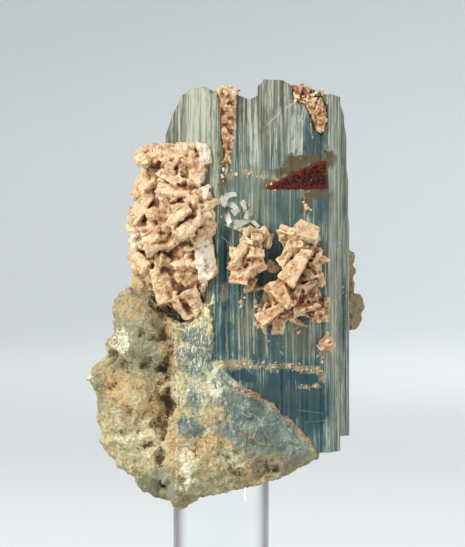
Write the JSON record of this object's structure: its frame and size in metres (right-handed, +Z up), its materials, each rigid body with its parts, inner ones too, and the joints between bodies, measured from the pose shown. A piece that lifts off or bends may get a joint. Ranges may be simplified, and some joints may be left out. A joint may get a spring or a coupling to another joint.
{
  "type": "aquamarine crystal specimen on a stand",
  "caption": "Striated six-sided aquamarine crystal in weathered rock, crusted with cream feldspar, standing on a short clear round rod.",
  "frame": {"origin": "centre of the rod's flat foot", "axes": "+Z up along the rod and the crystal's length; -Y towards the viewer of the crystal's broad front face; +X to the viewer's right"},
  "size_m": [0.0342, 0.0227, 0.0653],
  "materials": {
    "aquamarine": "translucent blue-green crystal, glassy, finely striated upright, paler at the top",
    "weathered_rock": "dull and granular, pale grey-green with tan and rusty stains",
    "feldspar": "cream to peach, matt with small pearly cleavage faces",
    "iron_oxide": "dull dark red-brown",
    "clear_acrylic": "clear, polished"
  },
  "bodies": {
    "root": {"aquamarine_crystal": "aquamarine", "matrix_rock": "weathered_rock", "feldspar_crust_left": "feldspar", "feldspar_cluster_centre": "feldspar", "feldspar_cluster_right": "feldspar", "feldspar_knob": "feldspar", "feldspar_cleft_filling": "feldspar", "feldspar_top_right": "feldspar", "iron_oxide_patch": "iron_oxide", "display_stand": "clear_acrylic"}
  },
  "joints": []
}
